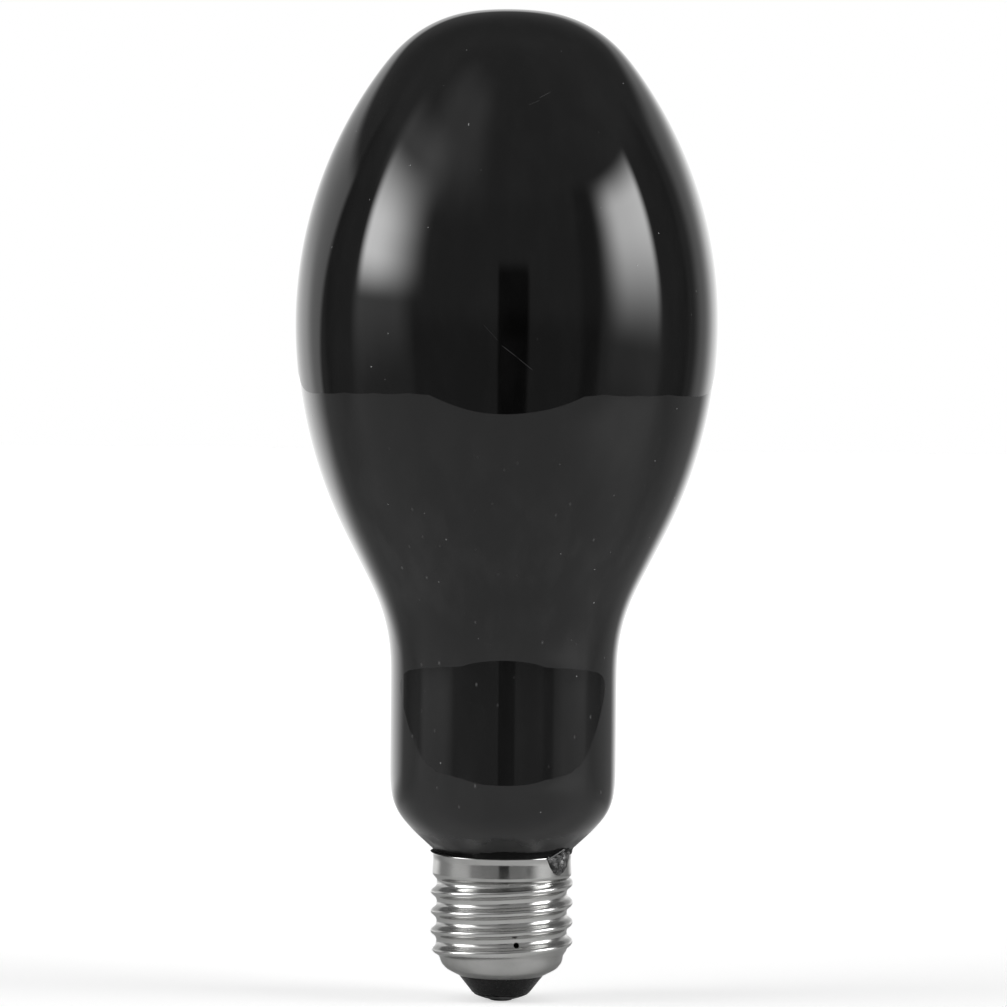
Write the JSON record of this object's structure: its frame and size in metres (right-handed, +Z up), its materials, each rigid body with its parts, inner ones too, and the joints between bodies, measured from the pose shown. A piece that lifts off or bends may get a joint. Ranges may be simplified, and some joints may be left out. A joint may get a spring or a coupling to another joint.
{
  "type": "uv black light bulb",
  "caption": "Black-light lamp: an elliptical bulb of near-black UV filter glass on a straight neck, cemented into a bright E27 screw cap with a dark insulator and centre contact.",
  "frame": {"origin": "tip of the centre contact, on the lamp's axis", "axes": "+Z up the lamp's axis from the contact to the crown of the bulb, -Y towards the camera of the picture"},
  "size_m": [0.078, 0.078, 0.183],
  "materials": {
    "black_glass": "gloss",
    "plated_shell": "polished",
    "cement": "matte",
    "insulator_glass": "gloss",
    "contact_metal": "satin",
    "solder": "satin",
    "lead_wire": "satin"
  },
  "bodies": {
    "root": {"glass_bulb": "black_glass", "cap_shell": "plated_shell", "capping_cement": "cement", "insulator": "insulator_glass", "contact_plate": "contact_metal", "contact_solder": "solder", "centre_lead": "lead_wire", "side_lead": "lead_wire", "side_solder": "solder"}
  },
  "joints": []
}
